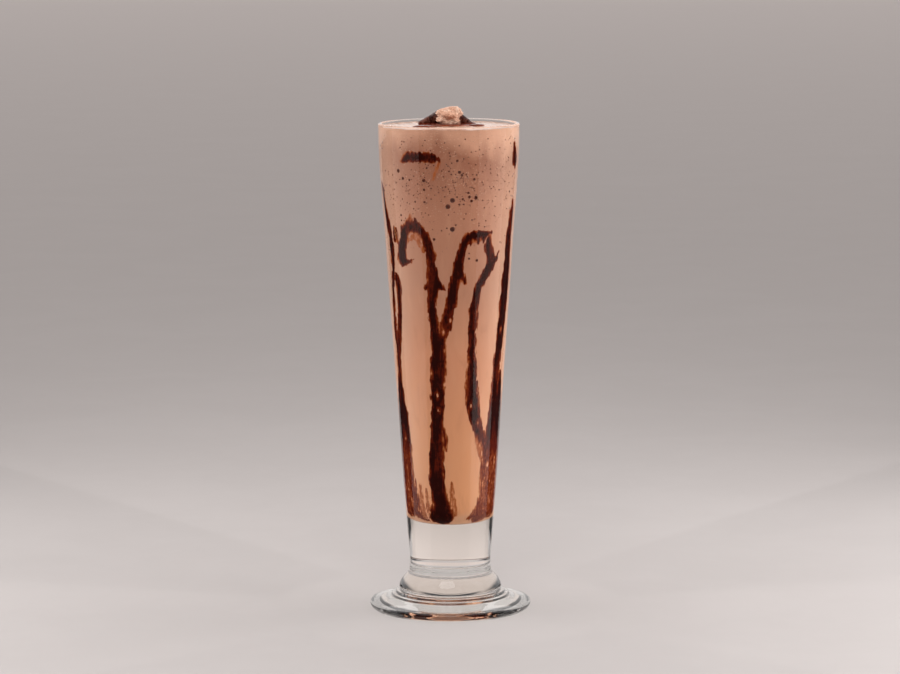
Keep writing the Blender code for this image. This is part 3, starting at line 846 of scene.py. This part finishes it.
def buildRun(node, run, seed, surface):
    places = [place for route in run["routes"] for place in route]
    turns = [math.radians(place[0]) for place in places]
    alongs = [place[1] for place in places]
    step, (below, above) = film["cell"], film["margins"]
    columns = np.arange(min(turns) - 0.3, max(turns) + 0.3, step / film["wallRadius"])
    rows = np.arange(max(min(alongs) - below, film["least"]), max(alongs) + above, step)
    turn, along = [values.ravel() for values in np.meshgrid(columns, rows)]
    arc = turn * film["wallRadius"] + 300
    field = routeField(turn, along, run["routes"][0])
    for route in run["routes"][1:]:
        field = joined(field, routeField(turn, along, route))
    rough = sum(share * patches(arc, along, wide, tall, seed + number)
                for number, (share, wide, tall) in enumerate(film["rough"]))
    hair = patches(arc, along, 0.62, 5.0, seed + 4)
    core = field + film["ragged"] * rough + film["hair"] * np.clip(hair, -0.6, 1) * ease(-2.0, 0.5, field)
    for gapTurn, gapAlong, radius in run.get("gaps", []):
        apart = np.hypot((turn - math.radians(gapTurn)) * boreRadius(along), (along - gapAlong) * 0.5)
        core = np.minimum(core, apart - radius + 0.3 * rough)
    fringe = np.clip(patches(arc, along, 3.2, 9.0, seed + 3) - 0.1, 0, 1)
    fringe = fringe + 0.8 * np.clip(patches(arc, along, 0.7, 6.0, seed + 5), 0, 1)
    reach = core + film["fringe"] * fringe * ease(-3.0, 0.0, field)
    # Where a run has no films, its first route stands in for them, and only keeps the syrup from
    # getting too thin.
    films = run.get("films", run["routes"][:1])
    thin = np.max([routeField(turn, along, route) for route in films], 0)
    if "films" in run:
        reach = np.maximum(reach, thin + 0.4 * rough + 0.6 * hair)
    used, faces = cutSheet(reach, len(columns))
    used = np.array(used)
    first, second, share = used[:, 0].astype(int), used[:, 1].astype(int), used[:, 2]

    def mixed(values):
        return values[first] * (1 - share) + values[second] * share

    turnAt, alongAt, coreAt, reachAt = mixed(turn), mixed(along), mixed(core), mixed(reach)
    onEdge = share > 0
    front = wallPoints(turnAt, alongAt, -film["intoWall"])
    depth = 0.12 + film["depth"] * ease(0.0, 2.0, reachAt)
    backIndex = np.full(len(used), -1)
    backIndex[onEdge] = np.nonzero(onEdge)[0]
    inner = np.nonzero(~onEdge)[0]
    backIndex[inner] = len(used) + np.arange(len(inner))
    back = wallPoints(turnAt[inner], alongAt[inner], depth[inner])
    points = np.concatenate([front, back])
    backFaces = [tuple(backIndex[[c, b, a]].tolist()) for a, b, c in faces]
    mesh = newMesh(node, points.tolist(), faces + backFaces)
    worn = np.clip(mixed(patches(arc, along, 3.6, 15.0, seed + 6)), 0, 1)
    thick = ease(-1.0, 1.7, coreAt) * (1 - 0.4 * worn)
    thick = thick * (1 - run.get("fade", 0) * ease(94, 74, alongAt))
    thick = np.maximum(thick, 0.1 * ease(-0.4, 0.6, mixed(thin)))
    addValue(mesh, "thick", np.concatenate([thick, thick[inner]]))
    piece = newObject(node + "_sheet", mesh, surface)
    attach(piece, "root")
    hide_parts(node)
    return piece


wallSyrup = buildWallSyrupMaterial()
for number, (node, run) in enumerate(runs.items()):
    piece = buildRun(node, run, 210 + 10 * number, wallSyrup)
    print(node, "done", len(piece.data.polygons))


# Froth lump and syrup on the drink

topping = {
    "lumpCentre": (0.4, 0.0, 243.4),
    "lumpSize": (12.2, 11.6, 9.4),
    "wander": (0.35, 3.2),  # strength and scale of the lump's broad form
    "crags": (0.0825, 5.5),  # and of its crags
    "fine": (0.075, 13),  # and of its fine roughness
    "spread": 0.45,  # how much wider the lump's foot is
    "lumpFoot": 239.4,  # height of its flat underside
    "blobs": [  # centre and size of what the syrup on top is merged from
        ((0, 0, 239.1), (25, 23, 1.7)),
        ((13.5, -5.5, 239.1), (8.0, 6.0, 1.5)),
        ((-12.0, -11.0, 239.0), (11.0, 7.0, 1.5)),
        ((4.0, 11.5, 239.2), (13.0, 9.0, 1.9)),
    ],
    "piles": [  # first and last blob of the wedges beside the lump, each with some more between them
        (((-5.6, 1.0, 242.6), (5.0, 7.0, 5.8)), ((-13.4, 0.4, 239.8), (3.4, 4.6, 2.8))),
        (((5.8, 0.8, 241.9), (4.0, 6.0, 4.8)), ((8.6, 0.4, 240.7), (3.4, 4.6, 3.0))),
        (((8.6, 0.2, 240.2), (3.4, 4.6, 2.8)), ((11.6, -0.6, 239.4), (3.4, 3.6, 1.7))),
    ],
    "grid": 0.22,  # size of the merged syrup's cells
}


def buildFrothMaterial():
    made, tree, shader, place = newMaterial("froth")
    broad = useGroup(tree, softMottle, {"Vector": place, "Size": 4.0, "Fine": 0.8})["Value"]
    larger = useGroup(tree, frothGrain, {"Vector": place, "Size": 1.0, "Amount": 0.4})
    finer = useGroup(tree, frothGrain, {"Vector": place, "Size": 0.45, "Amount": 0.6})
    colour = addMix(tree, addRange(tree, broad, 0.3, 0.75), tone(240, 184, 154), tone(252, 214, 190))
    # Painted shade: the froth is darker in the crevices between its crags.
    deep = addAttribute(tree, "deep")
    colour = addMix(tree, addRange(tree, deep, 0.3, 1.0, 0.0, 0.55), colour, tone(200, 142, 114))
    # Painted shade in the froth's tiny bubble pits.
    dots = addMath(tree, "ADD", larger["Dots"], finer["Dots"], True)
    colour = addMix(tree, addMath(tree, "MULTIPLY", dots, 0.55), colour, tone(178, 116, 90))
    shader.inputs["Specular IOR Level"].default_value = 0.25
    relief = addMath(tree, "SUBTRACT", addNoise(tree, place, 1.6, 5.0, 0.65), dots)
    addFinish(tree, shader, colour, addRange(tree, broad, 0.3, 0.8, 0.4, 0.65), relief, 0.8, 0.0006)
    return made


def buildLump():
    centre = Vector(topping["lumpCentre"])
    (broad, broadScale), (craggy, cragScale), (grainy, fineScale) = [
        topping[key] for key in ("wander", "crags", "fine")]
    ball, faces = ballShape(6, 0.5)
    points, deep = [], []
    for base in ball:
        wander = noise.noise(base * broadScale + centre * 0.3)
        near, far = noise.voronoi(base * cragScale + Vector((3, 1, 7)))[0][:2]
        crag = (far - near) * 0.9 - 0.25
        fine = noise.fractal(base * fineScale, 0.9, 2.1, 4)
        points.append(base * (1 + broad * wander + craggy * crag + grainy * fine))
        # deep is high where the surface sinks between crags, for the painted shade there.
        deep.append(max(0.0, min(1.0, 0.5 - crag * 1.4 - 0.5 * fine)))
    points = np.array(points)
    points[:, :2] *= 1 + topping["spread"] * ease(0.1, 0.4, -points[:, 2:])
    points = points * np.array(topping["lumpSize"]) + np.array(centre)
    points[:, 2] = np.maximum(points[:, 2], topping["lumpFoot"])
    high = cadHigh.z / mm - 0.05
    over = ease(high - 2.5, high + 1.5, points[:, 2])
    points[:, 2] = np.minimum(points[:, 2] - 0.6 * over, high)
    mesh = newMesh("froth_lump_body", (points * mm).tolist(), faces)
    addValue(mesh, "deep", deep)
    piece = newObject("froth_lump_body", mesh, buildFrothMaterial())
    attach(piece, "root")
    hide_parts("froth_lump")
    return piece


def buildTopSyrupMaterial():
    made, tree, shader, place = newMaterial("topSyrup")
    thick = addAttribute(tree, "thick")
    uneven = addNoise(tree, place, 0.5, 4.0, 0.6)
    change = addMath(tree, "MULTIPLY", addMath(tree, "SUBTRACT", uneven, 0.5), 0.3)
    thick = addMath(tree, "ADD", thick, change)
    colour = useGroup(tree, syrupTint, {"Vector": place, "Thick": thick})["Color"]
    # Grey brown patches on the syrup: partly a browner syrup, partly painted sheen.
    colour = addMix(tree, addRange(tree, uneven, 0.38, 0.6, 0.0, 0.75), colour, tone(118, 68, 54))
    shader.inputs["Specular IOR Level"].default_value = 0.22
    addFinish(tree, shader, colour, addRange(tree, uneven, 0.3, 0.7, 0.14, 0.36), uneven, 0.25, 0.0006)
    return made


def buildTopSyrup():
    points, faces = [], []
    ball, sides = ballShape(5, 0.5)
    blobs = list(topping["blobs"])
    for first, last in topping["piles"]:
        for share in np.linspace(0, 1, 9):
            blobs.append(np.array(first) * (1 - share) + np.array(last) * share)
    for number, (centre, size) in enumerate(blobs):
        start = len(points)
        for corner in ball:
            wander = noise.noise(corner * 2.0 + Vector((number * 0.4, 2, 5)))
            swell = 1 + 0.14 * wander
            points.append([(corner[i] * size[i] * swell + centre[i]) * mm for i in range(3)])
        faces += [[start + i for i in side] for side in sides]
    mesh = newMesh("syrup_on_top_body", points, faces)
    piece = newObject("syrup_on_top_body", mesh, buildTopSyrupMaterial())
    merge = piece.modifiers.new("Merge", "REMESH")
    merge.mode = "VOXEL"
    merge.voxel_size = topping["grid"] * mm
    relax = piece.modifiers.new("Relax", "SMOOTH")
    relax.iterations = 6
    relax.factor = 0.5
    mesh = applied(piece)
    points = meshPoints(mesh) / mm
    ripple = 0.12 * patches(points[:, 0] + 90, points[:, 1] + 90, 2.3, 2.3, 61)
    points[:, 2] += ripple * ease(239.0, 240.0, points[:, 2])
    mesh.vertices.foreach_set("co", (points * mm).ravel())
    over = points[:, 2] - drinkTop(np.hypot(points[:, 0], points[:, 1]))
    addValue(mesh, "thick", ease(-0.3, 1.9, over))
    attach(piece, "root")
    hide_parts("syrup_on_top")
    return piece


lump = buildLump()
topSyrup = buildTopSyrup()
print("topping done", len(lump.data.polygons), len(topSyrup.data.polygons))


# Floor, light and camera

studio = {
    "floorSize": 40.0,
    # The floor's colour near the glass and far off: painted shade near it and painted light far away.
    "floorNearShade": (177, 171, 169),
    "floorFarLight": (228, 218, 214),
    "frontEnd": 50,  # degrees to each side where the front card ends, and the side cards
    "sideEnd": 126,
    "edgeCard": (106, 146),
    "cardStart": 0.09,  # how far from the axis the cards start and end, in metres
    "cardEnd": 2.6,
    "light": {"side": 2.0, "oval": 3.9, "fill": 0.72},  # radiance of the panels for matt things
    "mirror": {"side": 0.54, "edge": 0.03, "oval": 2.0, "back": 1.0},  # and of those the glass mirrors
    "worldBack": (0.9, 0.87, 0.86),
    "worldFront": (0.03, 0.03, 0.033),
    "worldThrough": (0.63, 0.53, 0.47),  # seen through the glass, high up
    "worldDark": (0.02, 0.024, 0.03),  # seen through it low down and at the sides
    "backCard": (206, 194, 187),
    "darkCard": (0.008, 0.012, 0.018, 1),
    "sideCard": (0.08, 0.078, 0.075, 1),
}
camera = {
    "distance": 1.62043,
    "height": 0.35331,
    "tilt": 82.3175,
    "roll": -0.19,
    "shift": 0.00026,
    "lens": 133.19,
}


def buildFloor():
    made, tree, shader, place = newMaterial("floor")
    # Painted light and shade: darker near the glass and paler far off, to give the fall of light over the
    # floor.
    away = addNode(tree, "VectorMath", {0: place}, operation="LENGTH").outputs["Value"]
    far = addMath(tree, "POWER", addMath(tree, "DIVIDE", away, 9000.0, True), 0.5)
    colour = addMix(tree, far, tone(*studio["floorNearShade"]), tone(*studio["floorFarLight"]))
    mottle = useGroup(tree, softMottle, {"Vector": place, "Size": 90.0, "Fine": 0.5})["Value"]
    colour = addMix(tree, addRange(tree, mottle, 0.3, 0.75, 0.0, 0.04), colour, tone(235, 228, 226))
    tree.links.new(colour, shader.inputs["Base Color"])
    shader.inputs["Roughness"].default_value = 0.75
    shader.inputs["Specular IOR Level"].default_value = 0.2
    bump = addNode(tree, "Bump", {"Height": mottle, "Strength": 0.05, "Distance": 0.001})
    tree.links.new(bump.outputs["Normal"], shader.inputs["Normal"])
    half = studio["floorSize"] / 2
    corners = [(-half, -half, 0), (half, -half, 0), (half, half, 0), (-half, half, 0)]
    floor = newObject("floor", newMesh("floor", corners, [(0, 1, 2, 3)]), made)


def addPanel(name, place, aim, width, height, light, mirror, shape="RECTANGLE"):
    # A soft panel of up to two lamps: one lights matt things, and one shows only in glossy things.
    area = width * height * (math.pi / 4 if shape == "ELLIPSE" else 1)
    for suffix, radiance in (("_glow", light), ("_mirror", mirror)):
        if radiance == 0:
            continue
        data = bpy.data.lights.new(name + suffix, "AREA")
        data.shape = shape
        data.size = width
        data.size_y = height
        data.energy = radiance * math.pi * area
        lamp = bpy.data.objects.new(name + suffix, data)
        scene.collection.objects.link(lamp)
        lamp.location = place
        lamp.rotation_mode = "QUATERNION"
        lamp.rotation_quaternion = (Vector(aim) - Vector(place)).to_track_quat("-Z", "Y")
        lamp.visible_camera = False
        lamp.visible_transmission = False
        lamp.visible_glossy = suffix == "_mirror"
        lamp.visible_diffuse = suffix == "_glow"


def addCard(name, start, end, near, reach, colour, mirrored, through):
    # A card round part of the floor, from turn start to turn end. It shows only in the glass or
    # through it, and dims no light.
    made, tree, shader, place = newMaterial(name)
    shader.inputs["Base Color"].default_value = colour
    shader.inputs["Specular IOR Level"].default_value = 0.0
    count = 24
    turns = np.radians(np.linspace(start, end, count))
    points = [(r * math.sin(t), -r * math.cos(t), 0.001) for r in (near, reach) for t in turns]
    faces = [(i, i + 1, count + 1 + i, count + i) for i in range(count - 1)]
    card = newObject(name, newMesh(name, points, faces), made)
    card.visible_camera = False
    card.visible_diffuse = False
    card.visible_shadow = False
    card.visible_glossy = mirrored
    card.visible_transmission = through


def buildCards():
    front, side, (first, last) = studio["frontEnd"], studio["sideEnd"], studio["edgeCard"]
    near, reach, dark = studio["cardStart"], studio["cardEnd"], studio["darkCard"]
    addCard("front_card", -front, front, near, reach, dark, True, False)
    for name, way in (("left", -1), ("right", 1)):
        addCard(name + "_card", way * front, way * side, 0.55, reach, studio["sideCard"], False, True)
        addCard(name + "_edge_card", way * first, way * last, near, reach, dark, True, False)
    addCard("back_card", side, 360 - side, near, 0.7, tone(*studio["backCard"]), False, True)


def buildWorld():
    # Bright behind and above, dark in front. Through the glass it is dark low down and at the sides too.
    world = bpy.data.worlds.new("studio_world")
    world.use_nodes = True
    tree = world.node_tree
    axes = addNode(tree, "SeparateXYZ", {"Vector": addNode(tree, "TexCoord").outputs["Generated"]}).outputs
    facing = addMath(tree, "ADD", axes["Y"], addMath(tree, "MULTIPLY", axes["Z"], 0.9))
    share = addRange(tree, facing, 0.3, 0.85)
    colour = addMix(tree, share, (*studio["worldFront"], 1), (*studio["worldBack"], 1))
    lifted = addMath(tree, "ADD", axes["Z"], addMath(tree, "MINIMUM", axes["Y"], 0.0))
    aside = addMath(tree, "MULTIPLY", addMath(tree, "ABSOLUTE", axes["X"]), 0.8)
    lifted = addRange(tree, addMath(tree, "SUBTRACT", lifted, aside), -0.3, -0.16)
    lifted = addMath(tree, "MULTIPLY", lifted, addRange(tree, axes["Z"], 0.06, 0.13))
    seen = addMix(tree, lifted, (*studio["worldDark"], 1), (*studio["worldThrough"], 1))
    through = addNode(tree, "LightPath").outputs["Is Transmission Ray"]
    colour = addMix(tree, through, colour, seen)
    tree.links.new(colour, tree.nodes["Background"].inputs["Color"])
    scene.world = world


def buildStudio():
    buildFloor()
    buildCards()
    buildWorld()
    light, mirror = studio["light"], studio["mirror"]
    for name, x, share in (("left", -0.42, 0.72), ("right", 0.42, 1.08)):
        addPanel(name, (x, -0.03, 0.43), (0, -0.03, 0.43), 0.66, 0.84, share * light["side"], 0)
        addPanel(name + "_near", (x, -0.17, 0.43), (0, -0.17, 0.43), 0.38, 0.84, 0, mirror["side"])
        addPanel(name + "_edge", (x, 0.19, 0.43), (0, 0.19, 0.43), 0.34, 0.84, 0, mirror["edge"])
    addPanel("oval", (-0.05, -0.72, 1.3), (0, 0, 0.1), 0.8, 0.62, light["oval"], 0, "ELLIPSE")
    addPanel("oval_small", (-0.14, -0.7, 1.36), (0, 0, 0.02), 0.8, 0.7, 0, mirror["oval"], "ELLIPSE")
    addPanel("back", (0.0, 1.2, 1.0), (0, 0, 0.15), 1.4, 0.5, 0, mirror["back"])
    addPanel("fill", (0.0, -1.7, 0.9), (0, 0, 0.15), 1.6, 1.2, light["fill"], 0)
    scene.view_settings.view_transform = "Standard"
    scene.view_settings.look = "None"


def buildCamera():
    data = bpy.data.cameras.new("camera")
    data.lens = camera["lens"]
    data.sensor_width = 36
    data.clip_end = 100
    obj = bpy.data.objects.new("camera", data)
    scene.collection.objects.link(obj)
    place = Matrix.Translation((camera["shift"], -camera["distance"], camera["height"]))
    tilt = Matrix.Rotation(math.radians(camera["tilt"]), 4, "X")
    roll = Matrix.Rotation(math.radians(camera["roll"]), 4, "Z")
    obj.matrix_world = place @ tilt @ roll
    scene.camera = obj


buildStudio()
buildCamera()
print("studio done")
